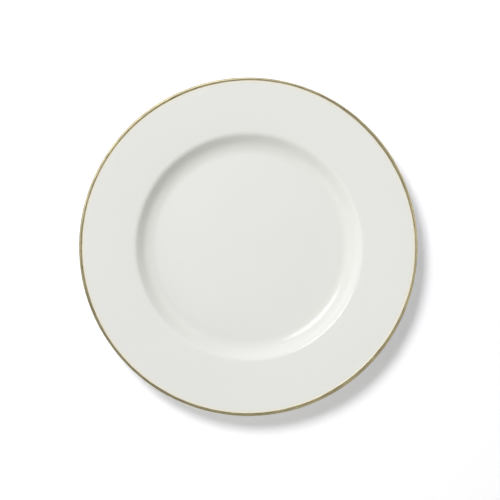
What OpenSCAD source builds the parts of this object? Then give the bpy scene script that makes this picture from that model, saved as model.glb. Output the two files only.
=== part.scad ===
// China dinner plate with a broad flange, a foot ring and a gold line round its lip.
// The plate stands on z = 0 with its axis on the Z axis. All lengths are in millimetres.

/* [Plate] */
// Diameter of the glazed plate
plate_d = 270; // [255:1:290]
// Height of the glazed lip above the table
plate_h = 21; // [19.6:0.1:24]
// Thickness of the lip, which is fully rounded
lip_t = 2.6; // [2:0.1:3.2]

/* [Well and flange] */
// Diameter at which the shoulder's slope would meet the flange if the bend were sharp
well_d = 180.7; // [174:0.1:188]
// Height of the well's floor above the table
floor_h = 6.4; // [6:0.1:7]
// Height of the flange at its inner end
flange_h = 15.4; // [14:0.1:16]
// Thickness of the plate at the flange's inner end
flange_t = 3.9; // [3.4:0.1:4.4]
// Steepest slope of the shoulder in degrees
shoulder_slope = 46; // [38:1:48]
// Radius of the curve from the floor up to the shoulder
floor_round = 16.8; // [12:0.2:20]
// Radius of the curve from the shoulder out to the flange
flange_round = 6.8; // [4:0.2:10]

/* [Foot and base] */
// Diameter of the foot ring at the middle of its bearing face
foot_d = 157; // [155:1:160]
// Width of the foot ring at the table
foot_w = 3.2; // [2.8:0.1:4]
// Height of the foot ring on its outer side
foot_h = 2.5; // [2.2:0.1:3]
// Height of the hollow base above the table
base_h = 2.5; // [2.2:0.1:3]
// How far each side of the foot ring leans out from the table up
foot_lean = 0.8; // [0.4:0.1:1.2]
// Height to which the foot ring is wiped bare of glaze
bare_h = 0.8; // [0.6:0.1:1.2]

/* [Glaze and decoration] */
// Thickness of the glaze film
glaze_t = 0.2; // [0.12:0.02:0.24]
// Thickness of the gold band and of the mark under the base
gilt_t = 0.1; // [0.06:0.02:0.12]
// Width of the gold band on the upper side, measured in from the lip
gilt_front = 2.7; // [2:0.1:4]
// Width of the gold band on the underside
gilt_back = 1.4; // [1.2:0.1:3]
// Diameter of the mark under the base
mark_d = 22; // [16:1:30]
// Number of dots in the mark
mark_dots = 8; // [5:1:12]

/* [Hidden] */
$fn = 180;
// Largest turn in degrees between two points on a rounded corner
arc_step = 4;
// Fillets between the flange and the shoulder on the underside, at the foot's root, inside the
// foot ring and at the edges of its bearing face
under_round = 10;
root_round = 3;
recess_round = 1.6;
foot_edge = 0.5;
// Line width of the mark's ring, the radius of its dots' circle as a share of its own, and the
// diameters of the dots and of the disc in the middle
mark_line = 0.5;
mark_dots_at = 0.62;
mark_dot_d = 1.5;
mark_disc_d = 4;
// Largest share of the shoulder's length that its two curves may take up
curve_share = 0.97;
// Room by which a cutting shape runs past what it cuts
past = 1;

plate_r = plate_d / 2;
flange_end = [well_d / 2, flange_h];
// The floor's plane and the shoulder's slope meet here
floor_end = [well_d / 2 - (flange_h - floor_h) / tan(shoulder_slope), floor_h];
// The flange's upper side runs from the shoulder to a tangent of the lip's round
lip_c = [plate_r - lip_t / 2, plate_h - lip_t / 2];
lip_way = lip_c - flange_end;
flange_slope = atan2(lip_way.y, lip_way.x) + asin(lip_t / 2 / norm(lip_way));
lip_top = [plate_r, flange_h + (plate_r - well_d / 2) * tan(flange_slope)];
lip_under = [plate_r, plate_h - lip_t];
// The curves at both ends of the shoulder shrink together where they wouldn't fit on it
shoulder_len = (flange_h - floor_h) / sin(shoulder_slope);
curves_len = floor_round * tan(shoulder_slope / 2)
    + flange_round * tan((shoulder_slope - flange_slope) / 2);
curve_fit = min(1, curve_share * shoulder_len / curves_len);
// The underside's bend lies square across the section from the bend above it
bend_slope = (shoulder_slope + flange_slope) / 2;
under_end = flange_end + flange_t * [sin(bend_slope), -cos(bend_slope)];
foot_out = (foot_d + foot_w) / 2;
foot_in = (foot_d - foot_w) / 2;
// Middle of the floor's thickness
floor_mid_h = (base_h + floor_h) / 2;

// Corners of the glazed section, from the axis out over the top and back underneath. Each is
// [radius, height, fillet, 1 if the side that follows it is glazed or else 0].
corners = [
    [0, floor_h, 0, 1],
    [floor_end.x, floor_end.y, curve_fit * floor_round, 1],
    [flange_end.x, flange_end.y, curve_fit * flange_round, 1],
    [lip_top.x, lip_top.y, lip_t / 2, 1],
    [lip_under.x, lip_under.y, lip_t / 2, 1],
    [under_end.x, under_end.y, under_round, 1],
    [foot_out + foot_lean, foot_h, root_round, 1],
    [foot_out, 0, foot_edge, 0],
    [foot_in, 0, foot_edge, 1],
    [foot_in - foot_lean, base_h, recess_round, 1],
    [0, base_h, 0, 0],
];

function row(i) = corners[(i + len(corners)) % len(corners)];
function corner(i) = [row(i)[0], row(i)[1]];
function left_of(v) = [-v.y, v.x];
function turned(v, a) = [v.x * cos(a) - v.y * sin(a), v.x * sin(a) + v.y * cos(a)];

// Direction of the side that leaves corner i, and its outward shift when the section grows
function side(i) = (corner(i + 1) - corner(i)) / norm(corner(i + 1) - corner(i));
function shift(i, grow) = grow * row(i)[3];

// Corner i of the section grown by grow: where its two shifted sides meet
function grown(i, grow) = let (
    a = left_of(side(i - 1)),
    b = left_of(side(i)),
    by_a = shift(i - 1, grow) * [b.y, -b.x],
    by_b = shift(i, grow) * [-a.y, a.x]
) corner(i) + (by_a + by_b) / cross(a, b);

// Points of corner i's fillet on the grown section. A fillet keeps its centre as the section
// grows, except where one side stays in place.
function fillet(i, grow) = let (
    a = side(i - 1),
    turn = atan2(cross(a, side(i)), a * side(i)),
    grows = shift(i - 1, grow) == shift(i, grow) ? grow : 0,
    radius = row(i)[2] - sign(turn) * grows,
    start = grown(i, grow) - a * radius * tan(abs(turn) / 2),
    centre = start + left_of(a) * sign(turn) * radius,
    steps = ceil(abs(turn) / arc_step)
) row(i)[2] == 0
    ? [grown(i, grow)]
    : [for (k = [0:steps]) centre + turned(start - centre, turn * k / steps)];

// Section of the plate, grown outwards from the glaze's surface by grow
module section(grow) {
    polygon([for (i = [0:len(corners) - 1]) each fillet(i, grow)]);
}

// Section of a film that lies between two grown sections
module film(inner, outer) {
    difference() {
        section(outer);
        section(inner);
    }
}

// The fired body, with its bearing face bare
module china_body() {
    color("#efe8da")
        rotate_extrude()
            section(-glaze_t);
}

// Glaze over the front, round the lip and down to the foot ring's bare edge
module main_glaze() {
    color("#e4e5e0")
        rotate_extrude()
            difference() {
                film(-glaze_t, 0);
                translate([-past, -past])
                    square([foot_d / 2 + past, floor_mid_h + past]);
                translate([-past, -past])
                    square([plate_r + past, bare_h + past]);
            }
}

// Glaze on the hollow base, down to the foot ring's bare edge
module base_glaze() {
    color("#e2e3de")
        rotate_extrude()
            intersection() {
                film(-glaze_t, 0);
                translate([0, bare_h])
                    square([foot_d / 2, floor_mid_h - bare_h]);
            }
}

// Gold on the glaze, over the lip from the upper side to the underside
module gold_rim_band() {
    color("#b9a566")
        rotate_extrude()
            intersection() {
                film(0, gilt_t);
                polygon([
                    [plate_r - gilt_front, plate_h + past],
                    [plate_r + past, plate_h + past],
                    [plate_r + past, plate_h - lip_t - past],
                    [plate_r - gilt_back, plate_h - lip_t - past],
                ]);
            }
}

// Mark on the base's glaze: a fine ring round a circle of dots and a disc
module backstamp() {
    color("#a8935a")
        translate([0, 0, base_h - gilt_t])
            linear_extrude(gilt_t) {
                difference() {
                    circle(d = mark_d);
                    circle(d = mark_d - 2 * mark_line);
                }
                for (k = [0:mark_dots - 1])
                    rotate(360 * k / mark_dots)
                        translate([mark_dots_at * mark_d / 2, 0])
                            circle(d = mark_dot_d);
                circle(d = mark_disc_d);
            }
}

china_body();
main_glaze();
base_glaze();
gold_rim_band();
backstamp();
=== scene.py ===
import math

import bpy
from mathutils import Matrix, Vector, noise


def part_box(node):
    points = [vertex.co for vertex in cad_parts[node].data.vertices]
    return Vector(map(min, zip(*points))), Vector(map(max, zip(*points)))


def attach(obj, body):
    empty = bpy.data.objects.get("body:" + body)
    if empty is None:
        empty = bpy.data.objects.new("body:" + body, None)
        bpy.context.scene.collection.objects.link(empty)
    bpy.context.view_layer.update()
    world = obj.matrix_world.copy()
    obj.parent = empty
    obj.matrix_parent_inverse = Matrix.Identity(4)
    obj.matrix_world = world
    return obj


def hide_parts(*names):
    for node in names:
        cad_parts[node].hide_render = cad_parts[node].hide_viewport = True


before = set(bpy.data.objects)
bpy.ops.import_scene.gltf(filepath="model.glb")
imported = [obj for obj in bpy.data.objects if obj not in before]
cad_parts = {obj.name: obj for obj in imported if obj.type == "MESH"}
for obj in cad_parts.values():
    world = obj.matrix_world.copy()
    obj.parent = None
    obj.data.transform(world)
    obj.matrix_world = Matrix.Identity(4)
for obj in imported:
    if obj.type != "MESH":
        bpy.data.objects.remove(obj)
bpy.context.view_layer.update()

# ---------------------------------------------------------------------------------------
# Sizes, in metres. The plate stands on z = 0 with its axis on the Z axis.
# ---------------------------------------------------------------------------------------
MM = 0.001

# From the frame
_, body_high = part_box("china_body")
_, glaze_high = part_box("main_glaze")
base_low, base_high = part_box("base_glaze")
PLATE_R = glaze_high.x
PLATE_H = glaze_high.z
GLAZE_T = PLATE_R - body_high.x
BARE_H = base_low.z
BASE_Z = base_high.z - GLAZE_T

# The section's driving dimensions, as the CAD model has them
LIP_T = 2.6 * MM
WELL_R = 90.35 * MM
FLOOR_Z = 6.4 * MM
FLANGE_Z = 15.4 * MM
FLANGE_T = 3.9 * MM
SHOULDER_SLOPE = math.radians(46)
FLOOR_ROUND = 16.8 * MM
FLANGE_ROUND = 6.8 * MM
UNDER_ROUND = 10 * MM
FOOT_R = 78.5 * MM
FOOT_W = 3.2 * MM
FOOT_Z = 2.5 * MM
FOOT_LEAN = 0.8 * MM
ROOT_ROUND = 3 * MM
RECESS_ROUND = 1.6 * MM
FOOT_EDGE = 0.5 * MM

# The gold band: how far it reaches in from the lip on each side, and its greatest thickness
GOLD_FRONT = 2.7 * MM
GOLD_BACK = 1.4 * MM
GOLD_T = 0.05 * MM
GOLD_LIFT = 0.002 * MM        # least height above the glaze
GOLD_SINK = 0.02 * MM         # how far the band's hidden side lies under the glaze's surface
FRONT_THINS = 0.25 * MM       # how far in from its front edge the band thins out
BACK_THINS = 0.35 * MM
# Slow waves of the brushed line's front edge: how many go round, their size and their phase in
# degrees. These values weren't chosen by hand: a scratch script computed them from the radius of
# the line in the photo
FRONT_WAVES = (2, 0.19 * MM, 68), (3, 0.15 * MM, -40), (4, 0.20 * MM, -59), (5, 0.14 * MM, 12)

# Where the brush stroke's end overlaps its start, how far to either side, how much wider the
# line is there, and how much thicker as a share of its thickness
OVERLAP_AT = math.radians(300)
OVERLAP_HALF = math.radians(5)
OVERLAP_WIDER = 0.18 * MM
OVERLAP_THICKER = 0.5

SHADED_POOL_R = 80.5 * MM    # middle of the concave bend, where the glaze pools and where painted shade darkens it

AROUND = 360          # steps round the axis
BODY = "root"         # the one body of a part with no joints


# ---------------------------------------------------------------------------------------
# The section: straight sides joined by fillets, which can be grown outwards
# ---------------------------------------------------------------------------------------
def flat(r, z):
    return Vector((r, z))


def section_corners():
    """Corners of the glazed section, from the axis out over the top and back underneath.
    Each is (point, fillet, 1 if the side that follows is glazed or else 0)."""
    flange_end = flat(WELL_R, FLANGE_Z)
    floor_end = flat(WELL_R - (FLANGE_Z - FLOOR_Z) / math.tan(SHOULDER_SLOPE), FLOOR_Z)
    lip_way = flat(PLATE_R - LIP_T / 2, PLATE_H - LIP_T / 2) - flange_end
    flange_slope = math.atan2(lip_way.y, lip_way.x) + math.asin(LIP_T / 2 / lip_way.length)
    lip_top = flat(PLATE_R, FLANGE_Z + (PLATE_R - WELL_R) * math.tan(flange_slope))
    bend = (SHOULDER_SLOPE + flange_slope) / 2
    under_end = flange_end + FLANGE_T * flat(math.sin(bend), -math.cos(bend))
    foot_out = FOOT_R + FOOT_W / 2
    foot_in = FOOT_R - FOOT_W / 2
    return [
        (flat(0, FLOOR_Z), 0, 1),
        (floor_end, FLOOR_ROUND, 1),
        (flange_end, FLANGE_ROUND, 1),
        (lip_top, LIP_T / 2, 1),
        (flat(PLATE_R, PLATE_H - LIP_T), LIP_T / 2, 1),
        (under_end, UNDER_ROUND, 1),
        (flat(foot_out + FOOT_LEAN, FOOT_Z), ROOT_ROUND, 1),
        (flat(foot_out, 0), FOOT_EDGE, 0),
        (flat(foot_in, 0), FOOT_EDGE, 1),
        (flat(foot_in - FOOT_LEAN, BASE_Z), RECESS_ROUND, 1),
        (flat(0, BASE_Z), 0, 0),
    ]


def left_of(v):
    return flat(-v.y, v.x)


def turned(v, a):
    return flat(v.x * math.cos(a) - v.y * math.sin(a), v.x * math.sin(a) + v.y * math.cos(a))


def grown_section(grow, arc_step, side_step):
    """Points of the section grown outwards by grow, with the corner that each one belongs to.
    Sides are divided too, closest near their ends, so that smooth shading keeps them flat."""
    corners = section_corners()
    count = len(corners)

    def side(i):
        return (corners[(i + 1) % count][0] - corners[i % count][0]).normalized()

    def shift(i):
        return grow * corners[i % count][2]

    points = []
    for i, (corner, fillet, _) in enumerate(corners):
        a, b = left_of(side(i - 1)), left_of(side(i))
        across = a.x * b.y - a.y * b.x
        moved = corner + (shift(i - 1) * flat(b.y, -b.x) + shift(i) * flat(-a.y, a.x)) / across
        if not fillet:
            points.append((moved, i))
            continue
        way = side(i - 1)
        turn = math.atan2(way.x * side(i).y - way.y * side(i).x, way.dot(side(i)))
        grows = grow if shift(i - 1) == shift(i) else 0
        radius = fillet - math.copysign(grows, turn)
        start = moved - way * radius * math.tan(abs(turn) / 2)
        centre = start + left_of(way) * math.copysign(radius, turn)
        steps = math.ceil(abs(turn) / arc_step)
        points += [(centre + turned(start - centre, turn * k / steps), i) for k in range(steps + 1)]

    divided = []
    for k, (point, i) in enumerate(points):
        divided.append((point, i))
        after, j = points[(k + 1) % len(points)]
        if j != i and j != 0:
            steps = math.ceil((after - point).length / side_step) + 1
            for n in range(1, steps):
                share = (1 - math.cos(math.pi * n / steps)) / 2
                divided.append((point.lerp(after, share), i + 0.5))
    return divided


# ---------------------------------------------------------------------------------------
# Meshes
# ---------------------------------------------------------------------------------------
def add_mesh(name, points, faces, sharp=50):
    mesh = bpy.data.meshes.new(name)
    mesh.from_pydata(points, [], faces)
    mesh.validate()
    mesh.update()
    mesh.shade_smooth()
    mesh.set_sharp_from_angle(angle=math.radians(sharp))
    obj = bpy.data.objects.new(name, mesh)
    bpy.context.scene.collection.objects.link(obj)
    return obj


def lathe(name, outline, around=AROUND):
    """A closed solid turned from a closed outline of (radius, z) points. Outline points on the
    axis become one vertex each."""
    points, rings = [], []
    for p in outline:
        if p.x < 1e-7:
            rings.append([len(points)] * around)
            points.append((0, 0, p.y))
            continue
        rings.append(list(range(len(points), len(points) + around)))
        for k in range(around):
            a = 2 * math.pi * k / around
            points.append((p.x * math.cos(a), p.x * math.sin(a), p.y))
    faces = []
    for n, ring in enumerate(rings):
        after = rings[(n + 1) % len(rings)]
        if ring[0] == ring[1] and after[0] == after[1]:
            continue
        for k in range(around):
            m = (k + 1) % around
            corners = dict.fromkeys((ring[k], after[k], after[m], ring[m]))
            faces.append(tuple(corners))
    return add_mesh(name, points, faces)


def fired_body():
    """The fired china, bare on the foot ring's bearing face."""
    outline = [p for p, _ in grown_section(-GLAZE_T, math.radians(5), 6 * MM)]
    return lathe("fired_china_body", outline)


def glaze_film(name, keep):
    """A film between the fired body and the glaze's surface, over the points that keep(point,
    corner) accepts."""
    outer = [p for p, i in grown_section(0, math.radians(2.5), 4 * MM) if keep(p, i)]
    inner = [p for p, i in grown_section(-GLAZE_T, math.radians(8), 12 * MM) if keep(p, i)]
    return lathe(name, outer + inner[::-1])


def front_side(p, i):
    """Corners 0 to 6 run from the axis over the lip to the foot's root, and 7 is at the foot."""
    return i < 7 and (i < 6 or p.y > BARE_H)


def base_side(p, i):
    """Corners from 8 on run from the foot's inner edge back to the axis."""
    return i > 8 and p.y > BARE_H


def lip_path():
    """The glazed section from the flange over the lip (corners 3 and 4) to the underside, as
    (distance along the path, point, outward normal) in order."""
    points = [p for p, i in grown_section(0, math.radians(3), 0.5 * MM)
              if 2.4 < i < 4.6 and p.x > PLATE_R - 6 * MM]
    path, along = [], 0
    for k, p in enumerate(points):
        before, after = points[max(k - 1, 0)], points[min(k + 1, len(points) - 1)]
        if k:
            along += (p - points[k - 1]).length
        path.append((along, p, left_of((after - before).normalized())))
    return path


def at_distance(path, along):
    """The point and normal at a distance along the path."""
    for (s0, p0, n0), (s1, p1, n1) in zip(path, path[1:]):
        if along <= s1:
            share = max(0, (along - s0) / (s1 - s0)) if s1 > s0 else 0
            return p0.lerp(p1, share), n0.lerp(n1, share).normalized()
    return path[-1][1], path[-1][2]


def hand_wobble(a, seed, size, lobes):
    """A smooth wandering value round the rim, as of a brush held by hand to a turning plate."""
    return size * noise.noise(Vector((lobes * math.cos(a), lobes * math.sin(a), seed)))


def gold_band():
    """Gold brushed over the lip. Its edges wander a little, it thins out to them, and it is
    wider and thicker where the brush stroke's end overlaps its start."""
    path = lip_path()
    front = next(s for s, p, n in path if p.x >= PLATE_R - GOLD_FRONT)
    back = next(s for s, p, n in reversed(path) if p.x >= PLATE_R - GOLD_BACK)
    across = 40
    around = 720
    points, edge = [], []
    for k in range(around):
        a = 2 * math.pi * k / around
        off = abs((a - OVERLAP_AT + math.pi) % (2 * math.pi) - math.pi)
        overlap = max(0, 1 - off / OVERLAP_HALF) ** 0.5
        wave = sum(size * math.cos(n * a - math.radians(at)) for n, size, at in FRONT_WAVES)
        start = front + wave + hand_wobble(a, 5.1, 0.06 * MM, 30)
        start -= OVERLAP_WIDER * overlap
        end = back + hand_wobble(a, 9.3, 0.3 * MM, 3) + hand_wobble(a, 3.9, 0.06 * MM, 30)
        thick = GOLD_T * (1 + OVERLAP_THICKER * overlap)
        wide = end - start
        for n in range(across + 1):
            share = (1 - math.cos(math.pi * n / across)) / 2
            p, normal = at_distance(path, start + wide * share)
            rise = min(1, share * wide / FRONT_THINS, (1 - share) * wide / BACK_THINS)
            rise = math.sin(rise * math.pi / 2)
            q = p + normal * (thick * rise + GOLD_LIFT)
            points.append((q.x * math.cos(a), q.x * math.sin(a), q.y))
            edge.append(rise)
        for n in range(across, -1, -4):
            share = (1 - math.cos(math.pi * n / across)) / 2
            p, normal = at_distance(path, start + wide * share)
            q = p - normal * GOLD_SINK
            points.append((q.x * math.cos(a), q.x * math.sin(a), q.y))
            edge.append(0)
    ring = len(points) // around
    faces = []
    for k in range(around):
        m = (k + 1) % around
        for n in range(ring):
            o = (n + 1) % ring
            faces.append((k * ring + n, k * ring + o, m * ring + o, m * ring + n))
    band = add_mesh("gold_rim_line", points, faces)
    layer = band.data.attributes.new("gold_cover", "FLOAT", "POINT")
    layer.data.foreach_set("value", edge)
    return band


# ---------------------------------------------------------------------------------------
# Materials
# ---------------------------------------------------------------------------------------
class Graph:
    """A material's node graph, with one short call for each kind of node used here."""

    def __init__(self, name):
        self.material = bpy.data.materials.new(name)
        self.material.use_nodes = True
        self.tree = self.material.node_tree
        self.shader = self.tree.nodes["Principled BSDF"]
        coordinates = self.tree.nodes.new("ShaderNodeTexCoord")
        self.place = coordinates.outputs["Object"]

    def node(self, kind, settings=(), inputs=()):
        made = self.tree.nodes.new("ShaderNode" + kind)
        for name, value in dict(settings).items():
            setattr(made, name, value)
        for name, value in dict(inputs).items():
            self.set(made.inputs[name], value)
        return made

    def set(self, socket, value):
        if isinstance(value, bpy.types.NodeSocket):
            self.tree.links.new(value, socket)
        else:
            socket.default_value = value

    def look(self, **values):
        """Sets sockets of the shader: base_color=..., roughness=..., and so on."""
        for name, value in values.items():
            socket = name.replace("_", " ").title().replace("Ior", "IOR")
            self.set(self.shader.inputs[socket], value)

    def math(self, operation, *values):
        made = self.node("Math", {"operation": operation})
        for socket, value in zip(made.inputs, values):
            self.set(socket, value)
        return made.outputs[0]

    def vector(self, operation, *values):
        made = self.node("VectorMath", {"operation": operation})
        for socket, value in zip(made.inputs, values):
            self.set(socket, value)
        return made.outputs["Value" if operation == "LENGTH" else "Vector"]

    def noise(self, place, size, detail=2.0):
        """Noise from 0 to 1 whose features are about size metres across."""
        made = self.node("TexNoise", {}, {"Vector": place, "Scale": 1 / size, "Detail": detail})
        return made.outputs["Fac"]

    def line_noise(self, value, size, detail=2.0):
        made = self.node("TexNoise", {"noise_dimensions": "1D"},
                         {"W": value, "Scale": 1 / size, "Detail": detail})
        return made.outputs["Fac"]

    def span(self, value, low, high, to_low=0.0, to_high=1.0, smooth=True):
        """value from low..high to to_low..to_high, held at both ends."""
        made = self.node("MapRange", {"interpolation_type": "SMOOTHSTEP" if smooth else "LINEAR"},
                         {"Value": value, "From Min": low, "From Max": high,
                          "To Min": to_low, "To Max": to_high})
        return made.outputs["Result"]

    def blend(self, share, a, b):
        """Colour a where share is 0 and b where it is 1."""
        made = self.node("Mix", {"data_type": "RGBA"})
        self.set(made.inputs["Factor"], share)
        for name, value in (("A", a), ("B", b)):
            socket = next(s for s in made.inputs if s.name == name and s.type == "RGBA")
            self.set(socket, value)
        return next(s for s in made.outputs if s.type == "RGBA")

    def radius(self):
        """Distance from the plate's axis."""
        return self.vector("LENGTH", self.vector("MULTIPLY", self.place, (1, 1, 0)))

    def height(self):
        """Height above the table."""
        return self.node("SeparateXYZ", {}, {"Vector": self.place}).outputs["Z"]

    def bump(self, height):
        """Bump from a height in metres."""
        made = self.node("Bump", {}, {"Height": height, "Strength": 1.0, "Distance": 1.0})
        self.set(self.shader.inputs["Normal"], made.outputs["Normal"])


def glazed_china():
    """Warm white china under a clear glaze: it is a little darker and yellower in the concave bend,
    partly from glaze that pools there and partly as painted shade, takes a faint straw tint where
    the gold's fumes touched it, and its surface is not quite even."""
    g = Graph("glazed_china")
    radius = g.radius()
    cloud = g.noise(g.place, 45 * MM, 3)
    white = g.blend(cloud, (0.760, 0.767, 0.738, 1), (0.785, 0.789, 0.758, 1))
    # The concave bend is darker and yellower all round: partly glaze pooling, partly painted shade
    # with the warm cast that shaded china takes
    bend = g.math("ABSOLUTE", g.math("SUBTRACT", radius, SHADED_POOL_R))
    pool_and_shade = g.span(bend, 3 * MM, 8 * MM, 0.35, 0.0)
    pooled_and_shaded = g.blend(pool_and_shade, white, (0.742, 0.752, 0.708, 1))
    near_gold = g.span(radius, PLATE_R - GOLD_FRONT - 2.8 * MM, PLATE_R - GOLD_FRONT, 0.0, 0.8)
    on_top = g.span(g.height(), PLATE_H - 3 * MM, PLATE_H - 2 * MM)
    fumed = g.math("MULTIPLY", near_gold, on_top)
    g.look(base_color=g.blend(fumed, pooled_and_shaded, (0.80, 0.752, 0.64, 1)))
    g.look(roughness=g.span(g.noise(g.place, 12 * MM, 4), 0.3, 0.7, 0.055, 0.10))
    g.look(ior=1.52)
    swell = g.math("MULTIPLY", g.noise(g.place, 24 * MM, 1), 16e-6)
    peel = g.math("MULTIPLY", g.noise(g.place, 3 * MM, 1), 0.9e-6)
    turning = g.math("MULTIPLY", g.line_noise(radius, 5 * MM, 2), 2.5e-6)
    g.bump(g.math("ADD", g.math("ADD", swell, peel), turning))
    return g.material


def bare_china():
    """Unglazed fired china on the foot ring: matt and creamy, ground flat, with fine grain."""
    g = Graph("bare_china")
    grain = g.noise(g.place, 0.35 * MM, 3)
    turning = g.line_noise(g.radius(), 0.25 * MM, 2)
    cream = g.blend(grain, (0.72, 0.67, 0.57, 1), (0.80, 0.76, 0.67, 1))
    grime = g.span(g.noise(g.place, 5 * MM, 4), 0.55, 0.75, 0.0, 0.35)
    g.look(base_color=g.blend(grime, cream, (0.52, 0.49, 0.43, 1)))
    g.look(roughness=g.span(turning, 0.3, 0.7, 0.62, 0.82))
    g.bump(g.math("ADD", g.math("MULTIPLY", grain, 12e-6), g.math("MULTIPLY", turning, 8e-6)))
    return g.material


def fired_gold(name, bright, dull, thin, rough_low, rough_high):
    """Fired liquid gold, brushed round the rim: fine streaks along the stroke, slow changes of
    tone, and a thin brownish fringe where the layer runs out."""
    g = Graph(name)
    parts = g.node("SeparateXYZ", {}, {"Vector": g.place})
    x, y, z = parts.outputs
    radius = g.radius()
    stroke = g.node("CombineXYZ", {}, {
        "X": g.math("MULTIPLY", g.math("DIVIDE", x, radius), 12.0),
        "Y": g.math("MULTIPLY", g.math("DIVIDE", y, radius), 12.0),
        "Z": g.math("MULTIPLY", g.math("SUBTRACT", radius, z), 1 / (0.18 * MM)),
    }).outputs["Vector"]
    streaks = g.node("TexNoise", {}, {"Vector": stroke, "Scale": 1.0, "Detail": 3.0}).outputs["Fac"]
    tone = g.noise(g.place, 14 * MM, 3)
    metal = g.blend(g.span(tone, 0.35, 0.65), bright, dull)
    metal = g.blend(g.math("MULTIPLY", g.span(streaks, 0.35, 0.7), 0.35), metal, dull)
    cover = g.node("Attribute", {"attribute_name": "gold_cover"}).outputs["Fac"]
    g.look(base_color=g.blend(g.span(cover, 0.15, 0.9), thin, metal))
    g.look(metallic=g.span(cover, 0.0, 0.6, 0.3, 1.0))
    g.look(roughness=g.span(streaks, 0.3, 0.7, rough_low, rough_high))
    g.bump(g.math("MULTIPLY", streaks, 3e-6))
    return g.material


def mark_gold():
    """Gold of the small mark: a fired print, duller than the band and finely broken up."""
    g = Graph("mark_gold")
    grain = g.noise(g.place, 0.12 * MM, 2)
    tone = g.noise(g.place, 3 * MM, 2)
    metal = g.blend(tone, (0.46, 0.36, 0.16, 1), (0.34, 0.26, 0.12, 1))
    g.look(base_color=g.blend(g.span(grain, 0.62, 0.72, 0.0, 0.6), metal, (0.55, 0.50, 0.40, 1)))
    g.look(metallic=g.span(grain, 0.62, 0.72, 0.95, 0.4))
    g.look(roughness=g.span(grain, 0.3, 0.7, 0.32, 0.5))
    g.bump(g.math("MULTIPLY", grain, 4e-6))
    return g.material


def paper_floor():
    """Plain white studio paper with a painted glow of its own, faint and bluish near the plate and
    stronger away from it, up to the horizon.
    """
    g = Graph("white_paper")
    grain = g.noise(g.place, 0.8 * MM, 3)
    g.look(base_color=g.blend(grain, (0.955, 0.955, 0.955, 1), (0.965, 0.965, 0.965, 1)))
    g.look(roughness=0.95, specular_ior_level=0.1)
    # Painted glow: the paper emits light, which lifts its brightness and its shadows; the glow is
    # bluish near the plate and grows stronger further out
    far = g.span(g.radius(), 0.5, 2.5)
    g.look(emission_color=g.blend(far, (0.87, 0.84, 1.0, 1), (0.93, 0.92, 1.0, 1)))
    g.look(emission_strength=g.span(far, 0, 1, 0.165, 0.65, smooth=False))
    return g.material


# ---------------------------------------------------------------------------------------
# The plate
# ---------------------------------------------------------------------------------------
def place(piece, node, slot, material):
    piece.data.materials.append(material)
    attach(piece, BODY)
    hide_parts(node)


glaze = glazed_china()
gold = fired_gold("rim_gold", (0.52, 0.448, 0.275, 1), (0.42, 0.362, 0.225, 1),
                  (0.60, 0.51, 0.36, 1), 0.24, 0.37)
place(fired_body(), "china_body", "fired_china", bare_china())
front_glaze = glaze_film("front_glaze", front_side)
place(front_glaze, "main_glaze", "clear_glaze", glaze)
place(glaze_film("foot_recess_glaze", base_side), "base_glaze", "clear_glaze", glaze)
rim_line = gold_band()
place(rim_line, "gold_rim_band", "gilding", gold)
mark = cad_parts["backstamp"]
mark.data.materials.clear()
mark.data.materials.append(mark_gold())


# ---------------------------------------------------------------------------------------
# Studio: floor, light and camera
# ---------------------------------------------------------------------------------------
FLOOR_R = 12.0        # wide enough to reach the horizon in the low views
LAMP_AWAY = 1.85      # distance of the lamps from the plate
PLATE_SHARE = 0.6772  # the plate's diameter as a share of the picture's width
CAMERA_OFF = (1.36 * MM, -2.57 * MM)    # how far the camera stands off the plate's axis
# Colours of the main light, of all other light, and of the main light as the gold shows it
KEY_COLOUR = (1.01, 1.0, 1.06)
FILL_COLOUR = (0.985, 1.0, 0.90)
GOLD_KEY_COLOUR = (0.94, 1.0, 1.08)


def studio_floor():
    steps = 96
    turns = [2 * math.pi * k / steps for k in range(steps)]
    ring = [(FLOOR_R * math.cos(a), FLOOR_R * math.sin(a), 0) for a in turns]
    floor = add_mesh("studio_floor", ring, [tuple(range(steps))])
    floor.data.materials.append(paper_floor())


def lamp(name, azimuth, zenith, wide, tall, radiance, away=LAMP_AWAY, colour=FILL_COLOUR,
         lights=True, glints=True, only=None):
    """A soft oval lamp that faces the plate. azimuth is counted from +X towards +Y, zenith from
    straight up, and its angular width and height are as seen from the plate, all in degrees.
    It can be made to light surfaces only, to show up in reflections only, or to act on one
    object only."""
    a, z = math.radians(azimuth), math.radians(zenith)
    light = bpy.data.lights.new(name, "AREA")
    light.color = colour
    light.shape = "ELLIPSE"
    light.size = 2 * away * math.tan(math.radians(wide) / 2)
    light.size_y = 2 * away * math.tan(math.radians(tall) / 2)
    light.energy = radiance * math.pi * (math.pi / 4 * light.size * light.size_y)
    obj = bpy.data.objects.new(name, light)
    toward = Vector((math.sin(z) * math.cos(a), math.sin(z) * math.sin(a), math.cos(z)))
    obj.location = toward * away
    obj.rotation_euler = toward.to_track_quat("Z", "Y").to_euler()
    obj.visible_diffuse = lights
    obj.visible_glossy = glints
    if only:
        receivers = bpy.data.collections.new(name + "_receivers")
        receivers.objects.link(only)
        obj.light_linking.receiver_collection = receivers
    bpy.context.scene.collection.objects.link(obj)
    return obj


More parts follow.
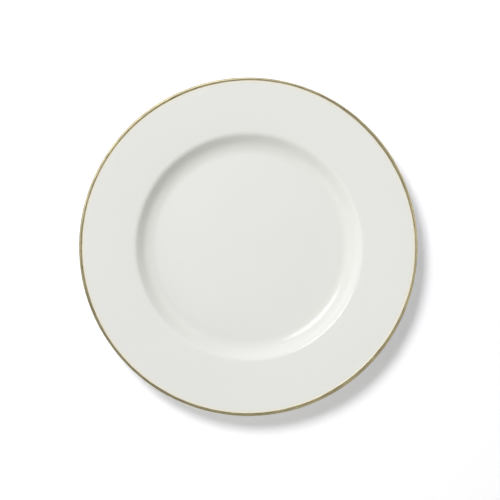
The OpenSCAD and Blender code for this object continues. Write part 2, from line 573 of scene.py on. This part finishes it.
def white_surround(strength, horizon, glow_to=12):
    """A dim even surround that brightens to white at the horizon, where the floor ends. The glow
    has faded out at glow_to degrees above the horizon."""
    world = bpy.data.worlds.new("white_surround")
    world.use_nodes = True
    tree = world.node_tree
    background = tree.nodes["Background"]
    direction = tree.nodes.new("ShaderNodeTexCoord").outputs["Generated"]
    parts = tree.nodes.new("ShaderNodeSeparateXYZ")
    tree.links.new(direction, parts.inputs["Vector"])
    rise = tree.nodes.new("ShaderNodeMapRange")
    rise.interpolation_type = "SMOOTHSTEP"
    tree.links.new(parts.outputs["Z"], rise.inputs["Value"])
    rise.inputs["From Max"].default_value = math.sin(math.radians(glow_to))
    glow = tree.nodes.new("ShaderNodeMix")
    glow.data_type = "RGBA"
    tree.links.new(rise.outputs["Result"], glow.inputs["Factor"])
    ends = [s for s in glow.inputs if s.type == "RGBA"]
    ends[0].default_value = (horizon, horizon, horizon, 1)
    ends[1].default_value = (*(strength * c for c in FILL_COLOUR), 1)
    tree.links.new(next(s for s in glow.outputs if s.type == "RGBA"), background.inputs["Color"])
    bpy.context.scene.world = world


def camera_above():
    """Straight above the plate, with +Y up the picture. Its distance frames the plate's
    diameter as PLATE_SHARE of the picture's width, a little off the middle."""
    data = bpy.data.cameras.new("camera")
    data.lens = 100
    data.sensor_width = 36
    picture_w = 2 * PLATE_R / PLATE_SHARE
    lip_z = PLATE_H - LIP_T / 2
    camera = bpy.data.objects.new("camera", data)
    camera.location = (*CAMERA_OFF, lip_z + picture_w * data.lens / data.sensor_width)
    bpy.context.scene.collection.objects.link(camera)
    bpy.context.scene.camera = camera


studio_floor()
# The strengths of these five lamps and of the surround started from a scratch script's fit to
# the photo's brightness, and were then rounded and adjusted by hand
lamp("key_octagon", 126, 36.5, 21, 21, 21.8, colour=KEY_COLOUR, glints=False)
lamp("back_panel", 94, 62, 50, 30, 0.56)
lamp("left_panel", 190, 62, 50, 30, 0.57, glints=False)
lamp("low_left_panel", 224, 74, 50, 24, 1.75, glints=False)
lamp("low_right_panel", 44, 74, 50, 24, 0.4)

# Lamps that overlap as seen from the plate hide one another, so these stand a little nearer or
# further off than the ones above
in_glaze = dict(lights=False, only=front_glaze)
lamp("key_glint", 134, 35, 25, 25, 3.5, away=LAMP_AWAY - 0.05, colour=KEY_COLOUR, **in_glaze)
lamp("right_sheen", 15, 40, 70, 40, 0.75, away=LAMP_AWAY + 0.05, **in_glaze)
lamp("left_sheen", 198, 40, 50, 60, 0.4, away=LAMP_AWAY + 0.05, **in_glaze)
in_gold = dict(away=LAMP_AWAY - 0.1, lights=False, only=rim_line)
lamp("key_on_gold", 130, 35, 64, 28, 4.3, colour=GOLD_KEY_COLOUR, **in_gold)
lamp("right_on_gold", 18, 48, 48, 50, 0.8, **in_gold)
lamp("front_on_gold", 315, 24, 60, 24, 1.0, **in_gold)

white_surround(0.335, 0.9)
camera_above()
bpy.context.scene.view_settings.view_transform = "Standard"
